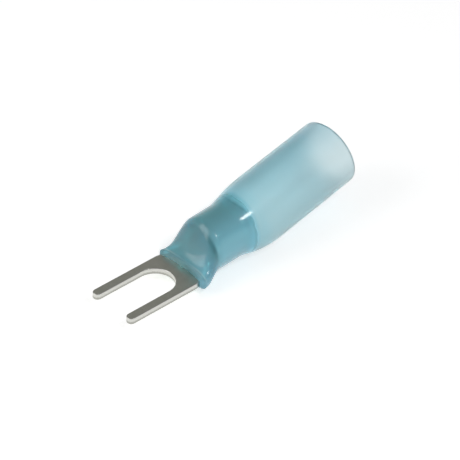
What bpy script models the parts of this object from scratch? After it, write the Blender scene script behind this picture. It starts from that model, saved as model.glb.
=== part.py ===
"""Insulated fork terminal for an M4 stud and a 1.5 to 2.5 square millimetre wire.

Two pieces. The terminal is one stamping: a flat fork whose sheet narrows at a neck
and then curls up into a round wire barrel with a butted seam along its top. The
sleeve is one length of heat shrink tube, shrunk tight round the neck and barrel
and left wide open behind them for the wire's own insulation.

Working frame: X runs from the tine tips to the sleeve's mouth, Y across the tines,
Z up, and the fork's top face lies at height 0. At the end both pieces are set down
so that the middle of their lowest plane is the world's origin.
"""
import math

import bmesh
import bpy
from mathutils import Vector

MM = 0.001

# Fork, as stamped from flat sheet.
SHEET = 0.75 * MM
TONGUE_WIDTH = 6.4 * MM
SLOT_WIDTH = 4.3 * MM
SLOT_DEPTH = 8.35 * MM
EDGE_BREAK = 0.07 * MM

# Neck, where the sheet narrows and starts to curl.
NECK_START = 9.0 * MM
NECK_WIDTH = 4.4 * MM
NECK_TAPER = 2.7 * MM
SHOULDER = 0.9 * MM
CURL_DELAY = 1.4 * MM
CURL_LEAD = 0.4 * MM

# Wire barrel, rolled from the same sheet.
BARREL_FRONT = 13.4 * MM
BARREL_LENGTH = 4.9 * MM
BARREL_DIAMETER = 4.1 * MM
BARREL_PITCH = math.radians(4.0)
SEAM_GAP = 0.12 * MM
GRIP_GROOVES = 3
GRIP_DEPTH = 0.12 * MM
GRIP_WIDTH = 0.5 * MM
ENTRY_FLARE = 0.2 * MM

# Sleeve over the metal.
FIT_CLEARANCE = 0.15 * MM
SLEEVE_FRONT = 9.6 * MM
FRONT_SLOPE = 0.35 * MM
FRONT_SCALLOP = 0.3 * MM
FRONT_WALL = 0.4 * MM
FRONT_BOW = 0.2 * MM
FRONT_SHIFT = 0.15 * MM
BARREL_WALL = 0.95 * MM
FLAT_FRONT = 0.5 * MM
FILM_TAPER = 3.15 * MM
FILM_CLIMB = 3.3 * MM
OUTER_SQUARENESS = 2.8
INNER_SQUARENESS = 8.0
NECK_SAG = 0.3 * MM
LIP_ROUND = 0.12 * MM

# Sleeve behind the barrel, left at its full bore.
TUBE_DIAMETER = 7.8 * MM
TUBE_WALL = 0.55 * MM
TUBE_END = 32.3 * MM
TUBE_PITCH = math.radians(7.8)
TUBE_YAW = math.radians(4.3)
FLARE_LEAD = 2.0 * MM
FLARE_LENGTH = 4.9 * MM
FLARE_EASE = 0.6
BEND_LEAD = 0.5 * MM
BEND_LENGTH = 2.4 * MM

# Fineness of the surfaces.
ACROSS = 28
TIP_STEPS = 9
NECK_STEPS = 14
SLEEVE_AROUND = 48

# Sizes that follow from the ones above.
BARREL_REAR = BARREL_FRONT + BARREL_LENGTH
BARREL_MID_RADIUS = (BARREL_DIAMETER - SHEET) / 2
BLANK_HALF_WIDTH = math.pi * BARREL_MID_RADIUS - SEAM_GAP / 2
TINE_RADIUS = (TONGUE_WIDTH - SLOT_WIDTH) / 4
SLOT_CENTRE = SLOT_DEPTH - SLOT_WIDTH / 2
FLARE_START = BARREL_REAR - FLARE_LEAD
FLARE_END = FLARE_START + FLARE_LENGTH
BEND_START = BARREL_REAR - BEND_LEAD
TINY = 1e-6


def ease(value):
    """0 to 1 with a level start and end, held at 0 before and at 1 after."""
    t = min(max(value, 0.0), 1.0)
    return t * t * (3 - 2 * t)


def blend(start, end, value):
    """The value part of the way from start to end."""
    return start + (end - start) * value


def steps(start, end, count):
    """Evenly spaced values from start to end, both included."""
    return [blend(start, end, i / count) for i in range(count + 1)]


def curl(x):
    """How far the sheet has closed at x: 0 where it is flat, 1 in the barrel."""
    start = NECK_START + CURL_DELAY
    return ease((x - start) / (BARREL_FRONT - CURL_LEAD - start))


def half_width(x):
    """Half the width of the flat blank at x, before it is rolled."""
    neck = blend(TONGUE_WIDTH / 2, NECK_WIDTH / 2, ease((x - NECK_START) / NECK_TAPER))
    return blend(neck, BLANK_HALF_WIDTH, ease((x - BARREL_FRONT + SHOULDER) / SHOULDER))


def pitch(x):
    """The sheet's climb at x: level in the fork, steady in the barrel."""
    t = (x - NECK_START) / (BARREL_FRONT - NECK_START)
    return BARREL_PITCH * min(max(t, 0.0), 1.0)


def keel(x):
    """The lowest line of the sheet's middle surface: level, then an arc, then the barrel's line."""
    rise = math.tan(BARREL_PITCH)
    neck = BARREL_FRONT - NECK_START
    along = min(max(x - NECK_START, 0.0), neck)
    climb = rise * along ** 2 / (2 * neck) + rise * max(x - BARREL_FRONT, 0.0)
    return Vector((x, 0, -SHEET / 2 + climb))


def in_section(x, y, height):
    """A point in the section plane at x, which leans back by the sheet's climb."""
    up = Vector((-math.sin(pitch(x)), 0, math.cos(pitch(x))))
    return keel(x) + Vector((0, y, 0)) + up * height


def rolled(x, s, offset):
    """Section coordinates of the sheet: s along its arc, offset towards the curl's centre."""
    bend = max(curl(x) / BARREL_MID_RADIUS, TINY)
    y = math.sin(bend * s) * (1 / bend - offset)
    height = (1 - math.cos(bend * s)) / bend + math.cos(bend * s) * offset
    return y, height


def inner_offset(x):
    """Upper face of the sheet: half its thickness, less the grip grooves and the wire entry's flare."""
    relief = 0.0
    for i in range(GRIP_GROOVES):
        middle = BARREL_FRONT + BARREL_LENGTH * (i + 1) / (GRIP_GROOVES + 1)
        relief = max(relief, GRIP_DEPTH * (1 - 2 * abs(x - middle) / GRIP_WIDTH))
    relief = max(relief, ENTRY_FLARE - (BARREL_REAR - x))
    return SHEET / 2 - relief


def terminal_stations():
    """Where sections are taken: evenly in the neck, then at each groove and the entry."""
    stations = steps(NECK_START, BARREL_FRONT, NECK_STEPS)
    for i in range(GRIP_GROOVES):
        middle = BARREL_FRONT + BARREL_LENGTH * (i + 1) / (GRIP_GROOVES + 1)
        stations += [middle - GRIP_WIDTH / 2, middle, middle + GRIP_WIDTH / 2]
    return stations + [BARREL_REAR - ENTRY_FLARE, BARREL_REAR]


def fork_plan(side):
    """One tine from its root to its tip: pairs of inner and outer points, then the round tip."""
    outer = side * TONGUE_WIDTH / 2
    inner = side * SLOT_WIDTH / 2
    middle = (outer + inner) / 2
    rungs = []
    for t in steps(0, 1, 4):
        rungs.append(((blend(SLOT_CENTRE, TINE_RADIUS, t), inner), (blend(NECK_START, TINE_RADIUS, t), outer)))
    tip = []
    for i in range(1, TIP_STEPS):
        angle = math.pi * i / TIP_STEPS
        tip.append((TINE_RADIUS * (1 - math.sin(angle)), middle + side * TINE_RADIUS * math.cos(angle)))
    return rungs, tip


def terminal_face(bm, upper):
    """One whole face of the sheet, upper or lower; returns its vertices in a fixed order."""
    verts = []

    def flat(point):
        verts.append(bm.verts.new((point[0], point[1], 0 if upper else -SHEET)))
        return verts[-1]

    def face(corners):
        bm.faces.new(corners if upper else corners[::-1])

    rows = []
    for x in terminal_stations():
        offset = inner_offset(x) if upper else -SHEET / 2
        row = []
        for s in steps(-half_width(x), half_width(x), ACROSS):
            verts.append(bm.verts.new(in_section(x, *rolled(x, s, offset))))
            row.append(verts[-1])
        rows.append(row)
    radius = SLOT_WIDTH / 2
    arc = []
    for angle in steps(-math.pi / 2, math.pi / 2, ACROSS):
        arc.append(flat((SLOT_CENTRE + radius * math.cos(angle), radius * math.sin(angle))))
    for front, back in zip([arc] + rows, rows):
        for k in range(ACROSS):
            face([front[k], back[k], back[k + 1], front[k + 1]])
    for side, root in ((-1, 0), (1, ACROSS)):
        rungs, tip = fork_plan(side)
        inner = [arc[root]] + [flat(pair[0]) for pair in rungs[1:]]
        outer = [rows[0][root]] + [flat(pair[1]) for pair in rungs[1:]]
        end = [flat(point) for point in tip]
        for k in range(len(inner) - 1):
            face([inner[k], outer[k], outer[k + 1], inner[k + 1]][::-side])
        face(([inner[-1], outer[-1]] + end)[::-side])
    return verts


def build_terminal():
    """The stamping: two faces of the sheet joined by its cut edges, which are lightly rounded."""
    bm = bmesh.new()
    weight = bm.edges.layers.float.new("bevel_weight_edge")
    top = terminal_face(bm, True)
    rim = [edge for edge in bm.edges if edge.is_boundary]
    bottom = terminal_face(bm, False)
    below = dict(zip(top, bottom))
    for edge in rim:
        a, b = edge.verts
        lower = bm.edges.get((below[a], below[b]))
        bm.faces.new([a, b, below[b], below[a]])
        edge[weight] = 1.0
        lower[weight] = 1.0
    bmesh.ops.recalc_face_normals(bm, faces=bm.faces)
    return finish("terminal", bm, EDGE_BREAK)


def directions():
    """Unit vectors all round a section."""
    turns = [2 * math.pi * (i + 0.5) / SLEEVE_AROUND for i in range(SLEEVE_AROUND)]
    return [(math.cos(turn), math.sin(turn)) for turn in turns]


def squared(value, squareness):
    """Signed power that turns a circle's coordinate into a rounded square's."""
    return math.copysign(abs(value) ** (2 / squareness), value)


def sheet_outline(x):
    """Section coordinates of the sheet's outer face and its two upper edges."""
    width = half_width(x)
    points = [rolled(x, s, -SHEET / 2) for s in steps(-width, width, 3 * ACROSS)]
    return points + [rolled(x, -width, SHEET / 2), rolled(x, width, SHEET / 2)]


def wrapped_ring(x, wall, squareness, sag=0.0, bow=0.0, shift=0.0, scallop=0.0):
    """Film round the neck: a rounded oblong on the flat sheet that becomes the barrel's circle.

    It sags below by sag, bows up above by bow, sits shift off the middle, and is set back
    by scallop in mid width. Where the sheet would come nearer than the clearance and the
    wall, the film is pushed out along its own normal until it clears it.
    """
    grown = FIT_CLEARANCE + wall
    half = blend(half_width(SLEEVE_FRONT), BARREL_DIAMETER / 2, wrap(x)) + grown
    low = -SHEET / 2 - grown - sag
    high = blend(SHEET / 2, BARREL_DIAMETER - SHEET / 2, climb(x)) + grown + bow
    metal = sheet_outline(x)
    ring = []
    for dy, dh in directions():
        y = half * squared(dy, squareness) - shift
        setback = Vector((scallop * (1 - (y / half) ** 2), 0, 0))
        height = (high + low) / 2 + (high - low) / 2 * squared(dh, squareness)
        slant_y = squared(dy, squareness / (squareness - 1)) / half
        slant_h = squared(dh, squareness / (squareness - 1)) / ((high - low) / 2)
        size = math.hypot(slant_y, slant_h)
        normal = (slant_y / size, slant_h / size)
        reach = max(point[0] * normal[0] + point[1] * normal[1] for point in metal)
        push = max(reach + grown - y * normal[0] - height * normal[1], 0)
        ring.append(in_section(x, y + normal[0] * push, height + normal[1] * push) + setback)
    return ring


def wrap(x):
    """How far the film's width has passed from the fork's to the barrel's."""
    return ease((x - SLEEVE_FRONT) / FILM_TAPER)


def climb(x):
    """How far the film's top has risen from the fork to the barrel, held back by its flat front."""
    return ease((x - SLEEVE_FRONT - FLAT_FRONT) / FILM_CLIMB)


def tube_axis(x):
    """The sleeve's centre line: the barrel's axis, then an arc, then the bent tube's axis."""
    middle = keel(x) + Vector((0, 0, BARREL_MID_RADIUS / math.cos(BARREL_PITCH)))
    turn = Vector((0, math.tan(TUBE_YAW), math.tan(TUBE_PITCH) / math.cos(TUBE_YAW) - math.tan(BARREL_PITCH)))
    along = min(max(x - BEND_START, 0.0), BEND_LENGTH)
    beyond = max(x - BEND_START - BEND_LENGTH, 0.0)
    slope = Vector((1, 0, math.tan(BARREL_PITCH))) + turn * (along / BEND_LENGTH)
    return middle + turn * (along ** 2 / (2 * BEND_LENGTH) + beyond), slope.normalized()


def round_ring(x, radius):
    """A circle of points about the sleeve's centre line, square to it."""
    middle, ahead = tube_axis(x)
    across = Vector((0, 0, 1)).cross(ahead).normalized()
    up = ahead.cross(across)
    return [middle + across * (radius * dy) + up * (radius * dh) for dy, dh in directions()]


def outer_ring(x):
    """The sleeve's outside: wrapped over the neck, round from the barrel on, then opening."""
    if x < BARREL_FRONT:
        wall = blend(FRONT_WALL, BARREL_WALL, wrap(x))
        sag = NECK_SAG * ease(1 - abs(2 * wrap(x) - 1))
        bow = blend(FRONT_BOW, 0, wrap(x))
        shift = blend(FRONT_SHIFT, 0, climb(x))
        return wrapped_ring(x, wall, blend(OUTER_SQUARENESS, 2, wrap(x)), sag=sag, bow=bow, shift=shift)
    shrunk = BARREL_DIAMETER / 2 + FIT_CLEARANCE + BARREL_WALL
    opened = max((x - FLARE_START) / FLARE_LENGTH, 0.0) ** FLARE_EASE
    return round_ring(x, blend(shrunk, TUBE_DIAMETER / 2, ease(opened)))


def inner_ring(x):
    """The sleeve's inside: a clearance off the metal, then opening to the tube's bore."""
    if x < BARREL_FRONT:
        scallop = blend(FRONT_SCALLOP, 0, wrap(x))
        return wrapped_ring(x, 0, blend(INNER_SQUARENESS, 2, wrap(x)), scallop=scallop)
    shrunk = BARREL_DIAMETER / 2 + FIT_CLEARANCE
    opened = ease((x - BARREL_REAR) / (FLARE_END - BARREL_REAR))
    return round_ring(x, blend(shrunk, TUBE_DIAMETER / 2 - TUBE_WALL, opened))


def sleeve_stations(front):
    """Where rings are taken: closely where the sleeve changes shape, sparsely where it is straight."""
    stations = steps(front, BARREL_FRONT, NECK_STEPS)
    stations += steps(BARREL_FRONT, FLARE_START, 3)[1:]
    stations += steps(FLARE_START, BARREL_REAR, 5)[1:]
    stations += steps(BARREL_REAR, FLARE_END, 7)[1:]
    return stations + steps(FLARE_END, TUBE_END, 3)[1:]


def build_sleeve():
    """The shrunk tube: an outer and an inner skin of rings, closed at the two cut ends.

    The front end leans back: the outer skin starts a slope behind the inner one.
    """
    bm = bmesh.new()
    weight = bm.edges.layers.float.new("bevel_weight_edge")
    skins = []
    for ring_at, front in ((outer_ring, SLEEVE_FRONT + FRONT_SLOPE), (inner_ring, SLEEVE_FRONT)):
        skins.append([[bm.verts.new(point) for point in ring_at(x)] for x in sleeve_stations(front)])
    outer, inner = skins
    loop = outer + inner[::-1]
    for ring, after in zip(loop, loop[1:] + loop[:1]):
        for k in range(SLEEVE_AROUND):
            n = (k + 1) % SLEEVE_AROUND
            bm.faces.new([ring[k], ring[n], after[n], after[k]])
    for ring in (outer[0], outer[-1], inner[0], inner[-1]):
        for k in range(SLEEVE_AROUND):
            bm.edges.get((ring[k - 1], ring[k]))[weight] = 1.0
    bmesh.ops.recalc_face_normals(bm, faces=bm.faces)
    return finish("heat_shrink_sleeve", bm, LIP_ROUND)


def finish(name, bm, edge_round):
    """Turn a closed mesh into a named object whose marked edges are rounded."""
    mesh = bpy.data.meshes.new(name)
    bm.to_mesh(mesh)
    bm.free()
    mesh.shade_smooth()
    mesh.set_sharp_from_angle(angle=math.radians(40))
    piece = bpy.data.objects.new(name, mesh)
    bpy.context.collection.objects.link(piece)
    bevel = piece.modifiers.new("rounded edges", "BEVEL")
    bevel.limit_method = "WEIGHT"
    bevel.width = edge_round
    bevel.segments = 2
    return piece


def material(name, colour, roughness, metallic, transmission):
    """A plain Principled finish."""
    made = bpy.data.materials.new(name)
    made.use_nodes = True
    shader = made.node_tree.nodes["Principled BSDF"]
    shader.inputs["Base Color"].default_value = (*colour, 1)
    shader.inputs["Roughness"].default_value = roughness
    shader.inputs["Metallic"].default_value = metallic
    shader.inputs["Transmission Weight"].default_value = transmission
    return made


def set_down(pieces):
    """Hang the pieces on one empty, moved so that their lowest plane's middle is the origin."""
    depsgraph = bpy.context.evaluated_depsgraph_get()
    corners = []
    for piece in pieces:
        mesh = piece.evaluated_get(depsgraph).data
        corners += [vertex.co.copy() for vertex in mesh.vertices]
    low = [min(corner[i] for corner in corners) for i in range(3)]
    high = [max(corner[i] for corner in corners) for i in range(3)]
    rest = bpy.data.objects.new("rest_frame", None)
    rest.location = (-(low[0] + high[0]) / 2, -(low[1] + high[1]) / 2, -low[2])
    bpy.context.collection.objects.link(rest)
    for piece in pieces:
        piece.parent = rest


for old in list(bpy.data.objects):
    bpy.data.objects.remove(old)
terminal = build_terminal()
terminal.data.materials.append(material("tinned_copper", (0.46, 0.44, 0.40), 0.32, 1.0, 0.0))
sleeve = build_sleeve()
sleeve.data.materials.append(material("blue_film", (0.25, 0.56, 0.66), 0.3, 0.0, 0.5))
set_down([terminal, sleeve])
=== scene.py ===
# %% [markdown]
# # A blue fork terminal on white paper
#
# This lesson dresses a small crimp terminal: a fork stamped from tinned copper sheet, rolled
# into a barrel at its back end, with a translucent blue tube shrunk round the barrel. The solid
# model is loaded first and never moved. Every new surface is worked out from its sizes.

# %% Load the solid model as a fixed frame
import math

import bmesh
import bpy
import numpy as np
from mathutils import Matrix, Vector


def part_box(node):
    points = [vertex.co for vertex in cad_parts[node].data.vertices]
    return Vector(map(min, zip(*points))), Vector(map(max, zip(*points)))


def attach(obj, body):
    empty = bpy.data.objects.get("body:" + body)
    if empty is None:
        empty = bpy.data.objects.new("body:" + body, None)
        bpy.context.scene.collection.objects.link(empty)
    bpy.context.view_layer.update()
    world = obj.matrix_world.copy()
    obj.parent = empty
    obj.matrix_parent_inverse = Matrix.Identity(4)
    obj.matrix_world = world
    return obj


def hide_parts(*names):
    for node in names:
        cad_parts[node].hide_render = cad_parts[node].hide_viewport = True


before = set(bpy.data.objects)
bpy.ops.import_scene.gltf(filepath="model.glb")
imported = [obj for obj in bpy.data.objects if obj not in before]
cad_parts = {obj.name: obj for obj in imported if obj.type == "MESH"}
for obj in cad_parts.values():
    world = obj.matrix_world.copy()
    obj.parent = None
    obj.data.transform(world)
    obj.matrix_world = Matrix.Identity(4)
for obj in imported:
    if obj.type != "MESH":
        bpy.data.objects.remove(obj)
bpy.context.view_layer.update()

print("nodes in the frame:", sorted(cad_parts))

# %% [markdown]
# ## Where the numbers live
#
# All sizes below are millimetres. The working frame has X running from the tine tips to the
# sleeve's mouth, Y across the tines and height 0 on the fork's top face. The terminal's own box
# says where that origin lies in the world, so nothing is placed by eye.

# %% The working frame and two small helpers
MM = 0.001
SHEET = 0.75

metal_low, metal_high = (np.array(corner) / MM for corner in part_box("terminal"))
ORIGIN = np.array([metal_low[0], (metal_low[1] + metal_high[1]) / 2, metal_low[2] + SHEET])
print("working origin in the world, mm:", ORIGIN.round(3))


def ease(t):
    """0 to 1 with level ends: 3 t squared minus 2 t cubed, t held between 0 and 1."""
    t = np.clip(t, 0.0, 1.0)
    return t * t * (3 - 2 * t)


def blend(start, end, t):
    """start plus t times the way to end."""
    return start + (end - start) * t


# %% [markdown]
# ## The stamped sheet
#
# The fork is pressed out of flat sheet. Behind it the sheet narrows to a neck and then curls
# about its middle line until its two edges meet as the barrel's seam. It could be a flat plate
# with bend modifiers, but then the neck and the curl would fight. Here the sheet stays one plan
# of points (distance along, distance across), and one number, the curl, says how far each
# section has closed: 0 is flat and 1 is the barrel.

# %% Sizes of the sheet
TONGUE_WIDTH = 6.4
SLOT_WIDTH = 4.3
SLOT_DEPTH = 8.35
NECK_START = 9.0
NECK_WIDTH = 4.4
NECK_TAPER = 2.7
SHOULDER = 0.5
CURL_DELAY = 1.4
CURL_LEAD = 0.4
BARREL_FRONT = 13.4
BARREL_LENGTH = 4.9
BARREL_DIAMETER = 4.1
BARREL_PITCH = math.radians(4.0)
SEAM_GAP = 0.12
BARREL_REAR = BARREL_FRONT + BARREL_LENGTH
BARREL_MID_RADIUS = (BARREL_DIAMETER - SHEET) / 2
BLANK_HALF_WIDTH = math.pi * BARREL_MID_RADIUS - SEAM_GAP / 2
TINY = 1e-6
print("barrel from", BARREL_FRONT, "to", round(BARREL_REAR, 2), "mm")


# %% The sheet's sections as functions of x
def curl(x):
    """How far the sheet has closed at x, eased from the neck to the barrel."""
    start = NECK_START + CURL_DELAY
    return ease((x - start) / (BARREL_FRONT - CURL_LEAD - start))


def half_width(x):
    """Half the flat blank: tongue, then neck, then the barrel's circumference."""
    neck = blend(TONGUE_WIDTH / 2, NECK_WIDTH / 2, ease((x - NECK_START) / NECK_TAPER))
    return blend(neck, BLANK_HALF_WIDTH, ease((x - BARREL_FRONT + SHOULDER) / SHOULDER))


def keel(x):
    """Lowest line of the sheet's middle: level, then an arc, then the barrel's 4 degree line."""
    rise = math.tan(BARREL_PITCH)
    neck = BARREL_FRONT - NECK_START
    along = np.clip(x - NECK_START, 0, neck)
    climb = rise * along ** 2 / (2 * neck) + rise * np.maximum(x - BARREL_FRONT, 0)
    return np.stack([x, 0 * x, climb - SHEET / 2], axis=-1)


def in_section(x, y, height):
    """Put section coordinates into the plane at x, which leans back by the sheet's climb."""
    lean = BARREL_PITCH * np.clip((x - NECK_START) / (BARREL_FRONT - NECK_START), 0, 1)
    zero = 0 * y
    return keel(x) + np.stack([-np.sin(lean) * height, y, np.cos(lean) * height + zero], axis=-1)


def rolled(x, s, offset):
    """Sheet point at arc length s: radius 1 / bend about a centre above, offset towards it."""
    bend = np.maximum(curl(x) / BARREL_MID_RADIUS, TINY)
    y = np.sin(bend * s) * (1 / bend - offset)
    height = (1 - np.cos(bend * s)) / bend + np.cos(bend * s) * offset
    return y, height


# %% Grip grooves and wire entry
GRIP_GROOVES = 3
GRIP_DEPTH = 0.12
GRIP_WIDTH = 0.5
ENTRY_FLARE = 0.2


def upper_offset(x):
    """Upper face above the middle: half the sheet, less three pressed grooves and the entry."""
    relief = np.maximum(ENTRY_FLARE - (BARREL_REAR - x), 0)
    for number in range(1, GRIP_GROOVES + 1):
        middle = BARREL_FRONT + BARREL_LENGTH * number / (GRIP_GROOVES + 1)
        groove = GRIP_DEPTH * ease(1 - 2 * np.abs(x - middle) / GRIP_WIDTH)
        relief = np.maximum(relief, groove)
    return SHEET / 2 - relief


print("bore at a groove, mm:", round(BARREL_DIAMETER - 2 * SHEET + 2 * GRIP_DEPTH, 2))

# %% [markdown]
# ## One half of the stamping's plan
#
# The sheet is the same on both sides of its middle line, so only one half is drawn. Its rows
# start at the tine's round tip, run back beside the slot, turn with the slot's round end and go
# on to the barrel's rear. Each edge line can be drawn in by an inset, and the inset shrinks to
# nothing over the edge's small radius: that is how the pressed edges get their roundness.

# %% Rows of the fork: slot edge and outer edge
EDGE_RADIUS = 0.09
TINE_RADIUS = (TONGUE_WIDTH - SLOT_WIDTH) / 4
TINE_MIDDLE = (TONGUE_WIDTH + SLOT_WIDTH) / 4
SLOT_CENTRE = SLOT_DEPTH - SLOT_WIDTH / 2
WEB_START = SLOT_DEPTH + EDGE_RADIUS

tip_turn = np.linspace(np.pi / 2, 0, 15)[:, None]
tine_run = np.linspace(TINE_RADIUS, SLOT_CENTRE, 26)[1:-1, None]
slot_turn = np.linspace(np.pi / 2, 0, 29)[:, None]


def slot_edge(inset):
    """Tip quarter circle, straight run, then the slot's quarter circle grown by the inset."""
    reach = TINE_RADIUS - inset
    radius = SLOT_WIDTH / 2 + inset
    x = [TINE_RADIUS - reach * np.sin(tip_turn), tine_run + 0 * inset,
         SLOT_CENTRE + radius * np.cos(slot_turn)]
    y = [TINE_MIDDLE - reach * np.cos(tip_turn), radius + 0 * tine_run,
         radius * np.sin(slot_turn)]
    return np.concatenate(x), np.concatenate(y)


def side_edge(inset):
    """Tip quarter circle, then a straight line at half the tongue's width less the inset."""
    reach = TINE_RADIUS - inset
    beside = blend(SLOT_CENTRE, WEB_START, 1 - 2 * slot_turn / np.pi)
    x = [TINE_RADIUS - reach * np.sin(tip_turn), tine_run + 0 * inset, beside + 0 * inset]
    straight = TONGUE_WIDTH / 2 - inset
    y = [TINE_MIDDLE + reach * np.cos(tip_turn), straight + 0 * tine_run, straight + 0 * beside]
    return np.concatenate(x), np.concatenate(y)


print("fork rows:", len(slot_edge(np.zeros(1))[0]))

# %% Stations behind the slot, closest where the sheet curls
back_x = np.concatenate([
    np.linspace(WEB_START, NECK_START, 4)[:-1],
    np.linspace(NECK_START, BARREL_FRONT, 56)[:-1],
    np.linspace(BARREL_FRONT, BARREL_REAR - ENTRY_FLARE, 60)[:-1],
    np.linspace(BARREL_REAR - ENTRY_FLARE, BARREL_REAR - EDGE_RADIUS, 4),
])[:, None]
half_turn = np.linspace(0, np.pi / 2, 5)
edge_inset = EDGE_RADIUS * (1 - np.sin(np.append(half_turn, half_turn[::-1])))[None, :]
edge_drop = EDGE_RADIUS * (1 - np.cos(np.append(half_turn, half_turn[::-1])))[None, :]
on_top = np.append(np.ones(5), np.zeros(5))[None, :]
print("stations behind the slot:", len(back_x))


def edge_offset(x):
    """Down over an edge: the upper face less the drop, then the lower face plus the drop."""
    return np.where(on_top > 0, upper_offset(x) - edge_drop, edge_drop - SHEET / 2)


# %% Patches of one half: two faces, the pressed edges and the barrel's end
ACROSS = np.linspace(0, 1, 33)[None, :]
corner_turn = np.linspace(0, np.pi / 2, 5)[:, None]
SLEEVE_START = 9.8


def half_patches():
    """Grids of (x, across, offset, edge mark) that together close one half of the sheet."""
    inset = np.full((1, 1), EDGE_RADIUS)
    slot_x, slot_y = slot_edge(inset)
    side_x, side_y = side_edge(inset)
    fork = blend(slot_x, side_x, ACROSS), blend(slot_y, side_y, ACROSS)
    behind = back_x + 0 * ACROSS, (half_width(back_x) - EDGE_RADIUS) * ACROSS
    patches = []
    for x, y in (fork, behind):
        patches.append((x, y, upper_offset(x), 0 * x))
        patches.append((x, y, -SHEET / 2 + 0 * x, 0 * x))
    end_x = BARREL_REAR - edge_inset + 0 * ACROSS.T
    end_y = (BLANK_HALF_WIDTH - EDGE_RADIUS) * ACROSS.T + 0 * edge_inset
    round_off = EDGE_RADIUS - edge_inset
    corner_x = BARREL_REAR - EDGE_RADIUS + round_off * np.sin(corner_turn)
    corner_y = BLANK_HALF_WIDTH - EDGE_RADIUS + round_off * np.cos(corner_turn)
    edge_y = half_width(back_x) - edge_inset
    edges = [slot_edge(edge_inset), side_edge(edge_inset), (back_x + 0 * edge_y, edge_y),
             (corner_x, corner_y), (end_x, end_y)]
    for x, y in edges:
        mark = ease((SLEEVE_START - x) / 0.3)
        patches.append((x, y, edge_offset(np.minimum(x, BARREL_REAR - EDGE_RADIUS)), mark))
    return patches


# %% [markdown]
# ## From patches to one closed piece
#
# Every patch is a plain grid, so its faces follow from counting. The patches share their border
# points, and merging those closes the shell. It could be done with a bridge of edge loops, but
# grids keep the rows even, and the merge also collapses the row that ends at each tine's tip.

# %% Grids to a closed mesh
MERGE = 1e-4


def grid_faces(rows, columns, wrapped):
    """Four corners of each cell of a grid whose points are numbered row by row."""
    index = np.arange(rows * columns).reshape(rows, columns)
    beside = np.roll(index, -1, axis=1)
    cells = np.stack([index[:-1], beside[:-1], beside[1:], index[1:]], axis=-1)
    return (cells if wrapped else cells[:, :-1]).reshape(-1, 4)


def shell(name, points, faces, marks):
    """A merged, outward, smooth piece from points in mm, faces and named marks per point."""
    mesh = bpy.data.meshes.new(name)
    mesh.from_pydata(((points + ORIGIN) * MM).tolist(), [], faces)
    for title, values in marks.items():
        kind = "FLOAT" if values.ndim == 1 else "FLOAT_VECTOR"
        layer = mesh.attributes.new(title, kind, "POINT")
        layer.data.foreach_set("value" if kind == "FLOAT" else "vector", values.ravel())
    merged = bmesh.new()
    merged.from_mesh(mesh)
    bmesh.ops.remove_doubles(merged, verts=merged.verts, dist=MERGE * MM)
    bmesh.ops.recalc_face_normals(merged, faces=merged.faces)
    open_edges = sum(1 for edge in merged.edges if not edge.is_manifold)
    volume = merged.calc_volume() / MM ** 3
    merged.to_mesh(mesh)
    merged.free()
    mesh.shade_smooth()
    piece = bpy.data.objects.new(name, mesh)
    bpy.context.scene.collection.objects.link(piece)
    print(name, "faces:", len(mesh.polygons), "open edges:", open_edges,
          "volume mm3:", round(volume, 2))
    return piece


# %% Both halves of the stamping
points, faces, edge_marks = [], [], []
count = 0
for side in (-1, 1):
    for x, y, offset, mark in half_patches():
        points.append(in_section(x, *rolled(x, side * y, offset)).reshape(-1, 3))
        faces.append(grid_faces(*x.shape, wrapped=False) + count)
        edge_marks.append(mark.ravel())
        count += x.size
stamping = shell("stamped_terminal", np.concatenate(points), np.concatenate(faces).tolist(),
                 {"pressed_edge": np.concatenate(edge_marks)})
stamping.data.set_sharp_from_angle(angle=math.radians(50))
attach(stamping, "root")
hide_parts("terminal")

# %% [markdown]
# ## The shrunk sleeve
#
# A heat shrink tube grips what is inside it and springs back to full size behind it. It could be
# a cylinder squeezed with a lattice, but then its wall would squeeze too. Here each ring is a
# superellipse, sized from the sheet and pushed out wherever the sheet would come too near.

# %% Sizes of the sleeve
FIT_CLEARANCE = 0.15
SLEEVE_FRONT = 9.6
FRONT_SLOPE = 0.35
FRONT_SCALLOP = 0.3
FRONT_WALL = 0.4
FRONT_BOW = 0.2
FRONT_SHIFT = 0.15
BARREL_WALL = 0.95
FLAT_FRONT = 0.5
FILM_TAPER = 3.15
FILM_CLIMB = 3.3
OUTER_SQUARENESS = 2.8
INNER_SQUARENESS = 8.0
NECK_SAG = 0.3
TUBE_DIAMETER = 7.8
TUBE_WALL = 0.55
TUBE_END = 32.3
TUBE_PITCH = math.radians(7.8)
TUBE_YAW = math.radians(4.3)
FLARE_START = BARREL_REAR - 2.0
FLARE_END = FLARE_START + 4.9
FLARE_EASE = 0.6
BEND_START = BARREL_REAR - 0.5
BEND_LENGTH = 2.4
AROUND = 144

turns = 2 * np.pi * (np.arange(AROUND) + 0.5) / AROUND
RING_Y, RING_H = np.cos(turns)[None, :], np.sin(turns)[None, :]


# %% Film round the neck
def squared(value, squareness):
    """Sign of value times its size to the power 2 / squareness: a circle made squarer."""
    return np.sign(value) * np.abs(value) ** (2 / squareness)


def wrap(x):
    """How far the film's width has passed from the fork's to the barrel's."""
    return ease((x - SLEEVE_FRONT) / FILM_TAPER)


def climb(x):
    """How far the film's top has risen from the fork to the barrel."""
    return ease((x - SLEEVE_FRONT - FLAT_FRONT) / FILM_CLIMB)


def sheet_outline(x, points=85):
    """Section coordinates of the outer face and the two upper edges, for every x at once."""
    across = np.append(np.linspace(-1, 1, points), [-1, 1]) * half_width(x)[:, None]
    offset = np.append(np.full(points, -SHEET / 2), [SHEET / 2, SHEET / 2])
    return rolled(x[:, None], across, offset[None, :])


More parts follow.
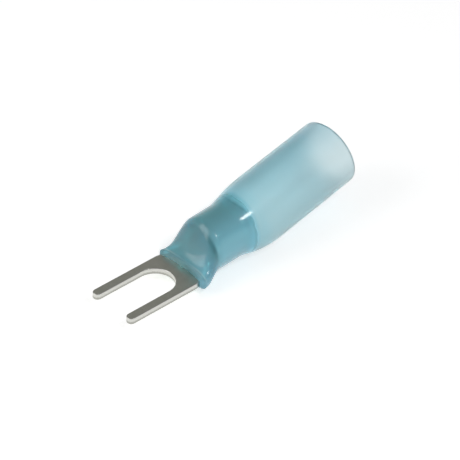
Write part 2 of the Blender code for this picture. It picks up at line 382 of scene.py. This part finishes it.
def softened(values, rounds, around=True):
    """Each value averaged with its neighbours along and around, as many times as rounds.

    Past each end the values carry on straight, so the ends stay where they are.
    """
    for _ in range(rounds):
        before, after = 2 * values[:1] - values[1:2], 2 * values[-1:] - values[-2:-1]
        padded = np.concatenate([before, values, after])
        values = (padded[:-2] + 2 * values + padded[2:]) / 4
        if around:
            values = (np.roll(values, 1, axis=1) + 2 * values + np.roll(values, -1, axis=1)) / 4
    return values


def wrapped_rings(x, grown, squareness, sag=0.0, bow=0.0, shift=0.0, scallop=0.0, soft=0):
    """Superellipse rings at every x, pushed out along their normals to stay grown off the sheet.

    They sag below by sag, bow up by bow, sit shift off the middle, and are set back by scallop
    times one minus the square of the place across. The push is softened so that it leaves no
    ridge, and fades to the exact one where the barrel starts.
    """
    x = x[:, None]
    half = blend(half_width(SLEEVE_FRONT), BARREL_DIAMETER / 2, wrap(x)) + grown
    low = -SHEET / 2 - grown - sag
    high = blend(SHEET / 2, BARREL_DIAMETER - SHEET / 2, climb(x)) + grown + bow
    y = half * squared(RING_Y, squareness) - shift
    height = (high + low) / 2 + (high - low) / 2 * squared(RING_H, squareness)
    slant_y = squared(RING_Y, squareness / (squareness - 1)) / half
    slant_h = squared(RING_H, squareness / (squareness - 1)) / ((high - low) / 2)
    size = np.hypot(slant_y, slant_h)
    normal_y, normal_h = slant_y / size, slant_h / size
    metal_y, metal_h = sheet_outline(x[:, 0])
    reach = normal_y[:, :, None] * metal_y[:, None, :] + normal_h[:, :, None] * metal_h[:, None, :]
    push = np.maximum(reach.max(axis=2) + grown - y * normal_y - height * normal_h, 0)
    push = blend(softened(push, soft), push, ease((x - BARREL_FRONT + SHOULDER) / SHOULDER))
    rings = in_section(x, y + normal_y * push, height + normal_h * push)
    rings[:, :, 0] += scallop * (1 - (y / half) ** 2)
    return rings


# %% Tube behind the barrel
def tube_axis(x):
    """Centre line and its direction: the barrel's axis, a short arc, then the bent tube's axis."""
    middle = keel(x) + np.array([0, 0, BARREL_MID_RADIUS / math.cos(BARREL_PITCH)])
    lift = math.tan(TUBE_PITCH) / math.cos(TUBE_YAW) - math.tan(BARREL_PITCH)
    turn = np.array([0, math.tan(TUBE_YAW), lift])
    along = np.clip(x - BEND_START, 0, BEND_LENGTH)
    beyond = np.maximum(x - BEND_START - BEND_LENGTH, 0)
    slope = np.array([1, 0, math.tan(BARREL_PITCH)]) + (along / BEND_LENGTH)[:, None] * turn
    middle = middle + (along ** 2 / (2 * BEND_LENGTH) + beyond)[:, None] * turn
    return middle, slope / np.linalg.norm(slope, axis=1, keepdims=True)


def round_rings(x, radius):
    """Circles about the centre line: middle plus radius times (across cos turn + up sin turn)."""
    middle, ahead = tube_axis(x)
    across = np.cross([0, 0, 1], ahead)
    across /= np.linalg.norm(across, axis=1, keepdims=True)
    up = np.cross(ahead, across)
    reach = across[:, None, :] * RING_Y[:, :, None] + up[:, None, :] * RING_H[:, :, None]
    return middle[:, None, :] + reach * radius[:, None, None]


# %% Rings along the outside
LIP = 0.12
ROUND_OFF = 1.6
NECK_ROUNDS = 160
WHOLE_ROUNDS = 24
neck_x = np.linspace(SLEEVE_FRONT + FRONT_SLOPE + LIP, BARREL_FRONT, 70)[:-1]
round_x = np.concatenate([
    np.linspace(BARREL_FRONT, FLARE_START, 24)[:-1],
    np.linspace(FLARE_START, FLARE_END, 70)[:-1],
    np.linspace(FLARE_END, TUBE_END - LIP, 40),
])
wrapped = wrap(neck_x)[:, None]
outer_neck = wrapped_rings(
    neck_x, FIT_CLEARANCE + blend(FRONT_WALL, BARREL_WALL, wrapped),
    blend(OUTER_SQUARENESS, 2, ease(wrapped * ROUND_OFF)),
    sag=NECK_SAG * ease(1 - np.abs(2 * wrapped - 1)), bow=blend(FRONT_BOW, 0, wrapped),
    shift=blend(FRONT_SHIFT, 0, climb(neck_x)[:, None]), soft=NECK_ROUNDS)
opened = ease(np.maximum((round_x - FLARE_START) / (FLARE_END - FLARE_START), 0) ** FLARE_EASE)
outer_radius = blend(BARREL_DIAMETER / 2 + FIT_CLEARANCE + BARREL_WALL, TUBE_DIAMETER / 2, opened)
outer = np.concatenate([outer_neck, round_rings(round_x, outer_radius)])
outer = softened(outer, WHOLE_ROUNDS, around=False)
print("outer rings:", len(outer), "largest radius mm:", round(outer_radius.max(), 2))

# %% [markdown]
# ## Where the film meets the metal
#
# The tube is lined with hot-melt adhesive and grips the sheet without a gap, so light passes
# from the film straight to the tin. Two nested shells with a thin gap of air between them would
# mirror at that gap. So the film's inside starts just under the metal's skin, fills the neck, and
# lets go of the barrel near its rear.

# %% Rings of the bore and of the cut ends
GRIP = -0.04
HIDDEN = -0.28
PLUG = 0.3
BORE_START = BARREL_REAR - 1.5
LET_GO_LENGTH = 3.4
front_x = np.array([SLEEVE_FRONT + LIP])
gripped = wrapped_rings(front_x, GRIP, INNER_SQUARENESS, scallop=FRONT_SCALLOP)
hidden = wrapped_rings(front_x + LIP, HIDDEN, INNER_SQUARENESS, scallop=FRONT_SCALLOP)

bore_x = round_x[round_x > BARREL_FRONT + PLUG]
bore_outer, bore_opened = (values[-len(bore_x):] for values in (outer_radius, opened))
free_radius = bore_outer - blend(FIT_CLEARANCE + BARREL_WALL, TUBE_WALL, bore_opened)
let_go = ease((bore_x - BORE_START) / LET_GO_LENGTH)
bore_radius = blend(BARREL_DIAMETER / 2 + GRIP, free_radius, let_go)
bore = round_rings(bore_x, bore_radius)


def lip(start, end, ahead, bulge, steps=12, squareness=3.2):
    """A rounded cut end: across from start to end while standing ahead by up to bulge."""
    t = np.linspace(0, np.pi, steps + 2)[1:-1, None, None]
    across = (1 - squared(np.cos(t), squareness)) / 2
    return start + (end - start) * across + ahead * bulge * squared(np.sin(t), squareness)


def outwards(ring, before):
    """Unit vectors that carry on from the ring before to this ring."""
    step = ring - before
    return step / np.linalg.norm(step, axis=-1, keepdims=True)


front = lip(gripped[0], outer[0], outwards(outer[0], outer[1]), LIP)
mouth = lip(outer[-1], bore[-1], outwards(outer[-1], outer[-2]), LIP)
film = np.concatenate([hidden, gripped, front, outer, mouth, bore[::-1]])
rows, columns = film.shape[:2]
print("film rows:", rows, "columns:", columns)

# %% Faces, and how far each point of the film has shrunk
RECOVERY_LEAD = 0.9
RECOVERY_LENGTH = 0.8
CUT_EDGE = SLEEVE_FRONT + FRONT_SLOPE + LIP
faces = grid_faces(rows, columns, wrapped=True).tolist()
faces.append(list(range(columns)))
faces.append(list(range((rows - 1) * columns, rows * columns)))
along = film[:, :, 0]
around = np.stack([RING_Y + 0 * along, RING_H + 0 * along, 0.02 * along], axis=-1)
recovered = 1 - ease((along - BARREL_REAR + RECOVERY_LEAD) / RECOVERY_LENGTH)
print("shrunk share of the film's points:", round(float(recovered.mean()), 2))

# %% [markdown]
# ## Tones of the film
#
# Film that has shrunk is cloudier than the free tube, and the free tube grows a little hazier
# toward its mouth. How cloudy could be one number, but then the barrel or the tube would be
# wrong. So every point of the mesh carries its own share, worked out from its place, and the
# material reads it. Painted shade is laid in the same way: darker lines over the barrel's front
# and rear rim, the hollow ahead of the front rim, the cut face and a band round the barrel's
# rear. So are a painted highlight along the lip and painted light that makes the near side paler.
# They are painted by place on the film and aren't worked out from light.

# %% How cloudy the film is
CLEAR_MILK = 0.04
FLARE_MILK = 0.1
MOUTH_MILK = 0.2
CUT_MILK = 0.45
FRONT_MILK = 0.68
EAR_MILK = 0.6
NECK_MILK = 0.5
BARREL_MILK = 0.62
FLARE_FADE = 3.0
MOUTH_LEAD, MOUTH_FADE = 5.5, 4.0
BARREL_FADE = 1.2
FRONT_FADE = 1.4
CUT_LEAD, CUT_FADE = 0.1, 0.15

free_milk = blend(FLARE_MILK, CLEAR_MILK, ease((along - BARREL_REAR) / FLARE_FADE))
free_milk = blend(free_milk, MOUTH_MILK, ease((along - TUBE_END + MOUTH_LEAD) / MOUTH_FADE))
cut_milk = blend(CUT_MILK, EAR_MILK, RING_Y ** 8)
to_barrel = ease((along - BARREL_FRONT + BARREL_FADE) / BARREL_FADE)
wrapped_milk = blend(NECK_MILK, BARREL_MILK, to_barrel)
wrapped_milk = blend(FRONT_MILK, wrapped_milk, ease((along - CUT_EDGE) / FRONT_FADE))
milk = blend(cut_milk, wrapped_milk, ease((along - CUT_EDGE + CUT_LEAD) / CUT_FADE))
milk = blend(free_milk, milk, recovered)
print("cloudy share from", round(float(milk.min()), 2), "to", round(float(milk.max()), 2))

# %% Painted shade at the rim lines, hollow, cut edge and barrel's rear; painted highlight and side light
FRONT_RIM, FRONT_RIM_WIDTH = 12.22, 0.22
REAR_RIM, REAR_RIM_BOW, REAR_RIM_WIDTH = 17.45, 0.5, 0.12
REAR_DARK, REAR_DARK_WIDTH = 16.9, 0.8
HOLLOW_LEAD, HOLLOW_RISE, HOLLOW_FALL = 1.1, 1.0, 0.3


def bell(x, middle, width):
    """e to the power of minus ((x - middle) / width) squared: 1 in the middle, soon 0."""
    return np.exp(-((x - middle) / width) ** 2)


# Painted shade: masks that darken the film at both rim lines, the hollow, the cut face and the rear.
upper = ease(RING_H / 0.45)
beside = ease((np.abs(RING_Y) - 0.05) / 0.5)
hollow_start = ease((along - FRONT_RIM + HOLLOW_LEAD) / HOLLOW_RISE)
hollow = hollow_start * (1 - ease((along - FRONT_RIM) / HOLLOW_FALL)) * upper
rear_rim = REAR_RIM - REAR_RIM_BOW * np.maximum(RING_H, 0) ** 8
lines = 0.8 * bell(along, FRONT_RIM, FRONT_RIM_WIDTH) * upper * beside
lines = lines + bell(along, rear_rim, REAR_RIM_WIDTH)
cut = (1 - ease((along - CUT_EDGE + 0.08) / 0.1)) * upper
rear_darkening = bell(along, REAR_DARK, REAR_DARK_WIDTH)
# The painted shade: the sum of the masks above, which darkens the film's colour.
painted_shade = np.minimum(0.65 * hollow + 0.5 * lines + 0.12 * cut + 0.15 * rear_darkening, 1)
# Painted highlight: a pale line along the top edge of the cut lip.
painted_lip_highlight = 0.5 * bell(along, CUT_EDGE + 0.05, 0.13) * upper * (0.35 + 0.65 * beside)
# Painted light: the near side is made paler and bluer than the far side.
painted_side_light = ease((0.5 - RING_Y) / 1.4) ** 3 + 0 * along
print("darkest shade:", round(float(painted_shade.max()), 2))

# %% The sleeve as one closed piece
marks = {"around": around.reshape(-1, 3), "recovered": recovered.ravel(), "milk": milk.ravel(),
         "painted_shade": painted_shade.ravel(), "painted_lip_highlight": painted_lip_highlight.ravel(), "painted_side_light": painted_side_light.ravel()}
sleeve = shell("shrunk_sleeve", film.reshape(-1, 3), faces, marks)
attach(sleeve, "root")
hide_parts("heat_shrink_sleeve")

# %% [markdown]
# ## Shader maths
#
# A finish that varies over a surface is a small sum of textures. Wiring each sum by hand hides
# it, so one class wraps a socket and lets Python's operators add the Math nodes.

# %% A socket that can be added and multiplied


class Value:
    """A socket: an expression on number values adds its Math nodes."""

    def __init__(self, nodes, socket):
        self.nodes = nodes
        self.socket = socket

    def math(self, operation, a, b):
        return self.nodes.add("ShaderNodeMath", {"operation": operation}, {0: a, 1: b})

    def __add__(self, other):
        return self.math("ADD", self, other)

    def __radd__(self, other):
        return self.math("ADD", other, self)

    def __sub__(self, other):
        return self.math("SUBTRACT", self, other)

    def __rsub__(self, other):
        return self.math("SUBTRACT", other, self)

    def __mul__(self, other):
        return self.math("MULTIPLY", self, other)

    def __rmul__(self, other):
        return self.math("MULTIPLY", other, self)


class Nodes:
    """A material's or world's node tree, with one method that adds any node."""

    def __init__(self, owner):
        owner.use_nodes = True
        self.tree = owner.node_tree
        self.tree.nodes.clear()

    def add(self, kind, settings=None, inputs=None, output=0):
        """Make a node, set it up, then set or link its sockets; returns one output."""
        node = self.tree.nodes.new(kind)
        for name, value in (settings or {}).items():
            setattr(node, name, value)
        for name, value in (inputs or {}).items():
            if isinstance(value, Value):
                self.tree.links.new(value.socket, node.inputs[name])
            else:
                node.inputs[name].default_value = value
        return Value(self, node.outputs[output]) if len(node.outputs) else None

    def stretched(self, source, scale):
        """The source coordinates, each multiplied by its own scale."""
        return self.add("ShaderNodeMapping", {}, {"Vector": source, "Scale": scale})

    def noise(self, vector, scale, detail=2.0):
        """Soft random values between 0 and 1, in features of about 1 / scale."""
        return self.add("ShaderNodeTexNoise", {}, {"Vector": vector, "Scale": scale, "Detail": detail})

    def mixed(self, factor, first, second):
        """A colour: first where the factor is 0, second where it is 1."""
        colours = {6: first, 7: second}
        return self.add("ShaderNodeMix", {"data_type": "RGBA"}, {0: factor, **colours}, output=2)


# %% [markdown]
# ## Blue film
#
# The polyolefin is clear and dyed, and its extruded skin is a little rough, so what lies behind
# it is softened. A tinted surface alone would be the quick way, but the wall is nearly twice as
# thick over the barrel as in the tube. So part of the dye is in the volume, where light loses red
# with every millimetre. A cloudy share, which scatters like paint, is mixed in by the tones above.

# %% Film material
def blue_film():
    """Clear film mixed with a cloudy share: pale in the tube, deep where it has shrunk."""
    made = bpy.data.materials.new("blue_film")
    nodes = Nodes(made)
    place = nodes.add("ShaderNodeTexCoord", output="Object")
    turn = nodes.add("ShaderNodeAttribute", {"attribute_name": "around"}, output="Vector")
    shrunk = nodes.add("ShaderNodeAttribute", {"attribute_name": "recovered"}, output="Fac")
    milk = nodes.add("ShaderNodeAttribute", {"attribute_name": "milk"}, output="Fac")
    # Painted shade laid on the sleeve: it darkens the colours below.
    painted_shade_fac = nodes.add("ShaderNodeAttribute", {"attribute_name": "painted_shade"}, output="Fac")
    # Painted highlight along the cut lip's top edge.
    lip_highlight_fac = nodes.add("ShaderNodeAttribute", {"attribute_name": "painted_lip_highlight"}, output="Fac")
    # Painted side light: 1 on the near side, which is made paler and bluer.
    side = nodes.add("ShaderNodeAttribute", {"attribute_name": "painted_side_light"}, output="Fac")
    draw_lines = nodes.noise(turn, 3.5, 0.0)
    waves = nodes.noise(place, 700.0, 2.0)
    cloud = nodes.noise(place, 420.0, 1.0)
    height = draw_lines * 0.2 + waves
    bump = nodes.add("ShaderNodeBump", {}, {"Strength": 0.05, "Distance": 0.0002, "Height": height})
    pale = nodes.mixed(cloud, (0.96, 0.98, 0.99, 1), (1.0, 1.0, 1.0, 1))
    # The near side is painted paler.
    pale = nodes.mixed(side, (0.89, 0.975, 1.0, 1), pale)
    deep = nodes.mixed(cloud, (0.35, 0.76, 0.84, 1), (0.43, 0.82, 0.89, 1))
    finish = {
        # Painted shade mixes the base colour towards dark teal.
        "Base Color": nodes.mixed(painted_shade_fac, nodes.mixed(shrunk, pale, deep), (0.22, 0.5, 0.58, 1)),
        "Roughness": 0.37 - shrunk * 0.15 + draw_lines * 0.06,
        "IOR": 1.5,
        "Coat Weight": 0.6,
        "Coat Roughness": 0.08,
        "Normal": bump,
    }
    clear = nodes.add("ShaderNodeBsdfPrincipled", {}, {**finish, "Transmission Weight": 1.0})
    # Cloudy colours with painted side light: paler and bluer on the near side.
    dye_and_side_light = nodes.mixed(side, (0.23, 0.57, 0.645, 1), (0.35, 0.82, 1.0, 1))
    haze_and_side_light = nodes.mixed(side, (0.52, 0.80, 0.92, 1), (0.93, 0.98, 1.0, 1))
    # The cloudy colour, with painted shade and a painted highlight then mixed into it.
    cloudy_and_painted_light = nodes.mixed(shrunk, haze_and_side_light, dye_and_side_light)
    # Painted shade darkens the cloudy colour.
    cloudy_and_painted_light = nodes.mixed(painted_shade_fac, cloudy_and_painted_light, (0.14, 0.42, 0.5, 1))
    # Painted highlight lightens it along the lip.
    cloudy_and_painted_light = nodes.mixed(lip_highlight_fac, cloudy_and_painted_light, (0.7, 0.98, 1.0, 1))
    milky = nodes.add("ShaderNodeBsdfPrincipled", {}, {
        **finish, "Base Color": cloudy_and_painted_light, "Specular IOR Level": 0.2})
    film = nodes.add("ShaderNodeMixShader", {}, {0: milk, 1: clear, 2: milky})
    depth = nodes.add("ShaderNodeVolumeAbsorption", {}, {
        "Color": (0.3, 0.92, 1.0, 1),
        "Density": 440.0,
    })
    nodes.add("ShaderNodeOutputMaterial", {}, {"Surface": film, "Volume": depth})
    return made


sleeve.data.materials.append(blue_film())

# %% [markdown]
# ## Tin plate
#
# The sheet is rolled before it is stamped, so a fine grain runs along it under the plating, and
# the punch leaves the pressed edges lined, burnished above and torn duller below. A picture of
# brushed metal would repeat; stretched noise doesn't, and it follows the part's real size.

# %% Tin material
TORN_TOP = 0.42
BURNISHED_DEPTH = 0.24


def tinned_copper():
    """Satin tin: grain along the sheet, soft clouds, and lined walls with a burnished top."""
    made = bpy.data.materials.new("tinned_copper")
    nodes = Nodes(made)
    place = nodes.add("ShaderNodeTexCoord", output="Object")
    edge = nodes.add("ShaderNodeAttribute", {"attribute_name": "pressed_edge"}, output="Fac")
    grain = nodes.noise(nodes.stretched(place, (0.16, 1.0, 1.0)), 9000.0, 3.0)
    cloud = nodes.noise(place, 1400.0, 3.0)
    shear = nodes.noise(nodes.stretched(place, (1.0, 1.0, 0.1)), 11000.0, 2.0)
    lined = grain * (1 - edge) + shear * edge
    height = nodes.add("ShaderNodeSeparateXYZ", {}, {0: place}, output="Z")
    burnished = nodes.add("ShaderNodeMapRange", {"interpolation_type": "SMOOTHSTEP"}, {
        "Value": height + shear * 0.0002,
        "From Min": float(ORIGIN[2] - TORN_TOP) * MM,
        "From Max": float(ORIGIN[2] - BURNISHED_DEPTH) * MM,
    })
    bump = nodes.add("ShaderNodeBump", {}, {"Strength": 0.25, "Distance": 0.00002, "Height": lined})
    plain = nodes.mixed(cloud, (0.67, 0.675, 0.57, 1), (0.83, 0.835, 0.74, 1))
    walls = nodes.mixed(burnished, (0.4, 0.4, 0.365, 1), (0.64, 0.64, 0.6, 1))
    surface = nodes.add("ShaderNodeBsdfPrincipled", {}, {
        "Base Color": nodes.mixed(edge, plain, walls),
        "Roughness": 0.24 + lined * 0.14,
        "Metallic": 1.0,
        "Normal": bump,
    })
    nodes.add("ShaderNodeOutputMaterial", {}, {"Surface": surface})
    return made


stamping.data.materials.append(tinned_copper())

# %% [markdown]
# ## Paper floor and soft room
#
# The photograph has plain white all round. More light would do it, but the object would wash
# out, so the paper glows only for rays that look straight at it or see it mirrored or through
# the film. The room is bright near the horizon and dim above, which keeps the flat top of the
# fork dark and its upright walls pale, as on a light table.

# %% Floor
scene = bpy.context.scene
FLOOR_SIZE = 0.6
PAPER_GLOW = 0.58


def seen_directly(nodes):
    """1 for camera, mirror and see-through rays, 0 for the rays that only carry soft light."""
    names = ("Is Camera Ray", "Is Glossy Ray", "Is Transmission Ray")
    rays = [nodes.add("ShaderNodeLightPath", output=name) for name in names]
    return nodes.add("ShaderNodeClamp", {}, {"Value": rays[0] + rays[1] + rays[2]})


def white_paper():
    """Matt white that still takes the object's shadow, lifted to full white where it is seen."""
    made = bpy.data.materials.new("white_paper")
    nodes = Nodes(made)
    paper = nodes.add("ShaderNodeBsdfDiffuse", {}, {"Color": (0.9, 0.9, 0.9, 1)})
    lift = seen_directly(nodes) * PAPER_GLOW
    glow = nodes.add("ShaderNodeEmission", {}, {"Color": (1, 1, 1, 1), "Strength": lift})
    both = nodes.add("ShaderNodeAddShader", {}, {0: paper, 1: glow})
    nodes.add("ShaderNodeOutputMaterial", {}, {"Surface": both})
    return made


corners = np.array([[-1, -1], [1, -1], [1, 1], [-1, 1]]) * FLOOR_SIZE / 2
floor_mesh = bpy.data.meshes.new("floor")
floor_mesh.from_pydata([(x, y, 0) for x, y in corners], [], [(0, 1, 2, 3)])
floor = bpy.data.objects.new("floor", floor_mesh)
scene.collection.objects.link(floor)
floor_mesh.materials.append(white_paper())
print("floor side, m:", FLOOR_SIZE)

# %% Room
HORIZON_TOP = 0.1
CEILING_START = 0.5
CEILING_LEVEL = 0.22
FAR_SIDE_LEVEL = 0.75

world = bpy.data.worlds.new("studio")
scene.world = world
nodes = Nodes(world)
direction = nodes.add("ShaderNodeTexCoord", output="Generated")
height = nodes.add("ShaderNodeSeparateXYZ", {}, {0: direction}, output="Z")
level = nodes.add("ShaderNodeMapRange", {"interpolation_type": "SMOOTHSTEP"}, {
    "Value": height,
    "From Min": HORIZON_TOP,
    "From Max": CEILING_START,
    "To Min": 1.0,
    "To Max": CEILING_LEVEL,
})
aside = nodes.add("ShaderNodeSeparateXYZ", {}, {0: direction}, output="Y")
shade = nodes.add("ShaderNodeMapRange", {"interpolation_type": "SMOOTHSTEP"}, {
    "Value": aside,
    "From Min": 0.4,
    "From Max": 0.95,
    "To Min": 1.0,
    "To Max": FAR_SIDE_LEVEL,
})
camera_ray = nodes.add("ShaderNodeLightPath", output="Is Camera Ray")
strength = nodes.add("ShaderNodeMath", {"operation": "MAXIMUM"}, {0: level * shade, 1: camera_ray})
sky = nodes.add("ShaderNodeBackground", {}, {"Color": (1, 1, 1, 1), "Strength": strength})
nodes.add("ShaderNodeOutputWorld", {}, {"Surface": sky})
print("room from", CEILING_LEVEL, "overhead to 1 at the horizon")

# %% [markdown]
# ## Camera
#
# A long lens looks down along the fork from its tips. Its angles were fitted to the straight
# edges of the fork and to the slot, and its axis passes a little beside the picture's middle, so
# the sensor is shifted rather than the camera turned.

# %% Camera at the photograph's angle
CAMERA_AZIMUTH = math.radians(43.28)
CAMERA_ELEVATION = math.radians(37.67)
CAMERA_ROLL = math.radians(1.31)
CAMERA_DISTANCE = 318.86
CAMERA_TARGET = np.array([15.0, 0.0, 1.5])
CAMERA_LENS = 234.8
PICTURE = 460
PRINCIPAL = (-12.70, 6.09)

level_turn = math.sin(CAMERA_AZIMUTH), math.cos(CAMERA_AZIMUTH)
right = np.array([level_turn[1], -level_turn[0], 0])
up = np.append(math.sin(CAMERA_ELEVATION) * np.array(level_turn), math.cos(CAMERA_ELEVATION))
back = np.cross(right, up)
tilt = math.cos(CAMERA_ROLL), math.sin(CAMERA_ROLL)
matrix = np.eye(4)
matrix[:3, 0] = tilt[0] * right + tilt[1] * up
matrix[:3, 1] = tilt[0] * up - tilt[1] * right
matrix[:3, 2] = back
matrix[:3, 3] = (CAMERA_TARGET + back * CAMERA_DISTANCE + ORIGIN) * MM

camera_data = bpy.data.cameras.new("camera")
camera_data.lens = CAMERA_LENS
camera_data.sensor_width = 36
camera_data.shift_x = -PRINCIPAL[0] / PICTURE
camera_data.shift_y = PRINCIPAL[1] / PICTURE
camera_data.clip_start = 0.01
camera = bpy.data.objects.new("camera", camera_data)
scene.collection.objects.link(camera)
camera.matrix_world = Matrix(matrix.tolist())
scene.camera = camera
print("camera at, mm:", (matrix[:3, 3] / MM).round(1))


# %% Lights
def softbox(name, place, target, size, power):
    """A square lamp of the given side that faces its target."""
    data = bpy.data.lights.new(name, "AREA")
    data.shape = "RECTANGLE"
    data.size = data.size_y = size * MM
    data.energy = power
    lamp = bpy.data.objects.new(name, data)
    scene.collection.objects.link(lamp)
    lamp.location = [c * MM for c in place]
    lamp.rotation_euler = (Vector(target) - Vector(place)).to_track_quat("-Z", "Y").to_euler()
    return lamp


softbox("key", (0, -116, 162), (0, 0, 3), 28, 0.06)
softbox("fill", (-150, 60, 120), (0, 0, 3), 120, 0.1)
scene.view_settings.view_transform = "Standard"
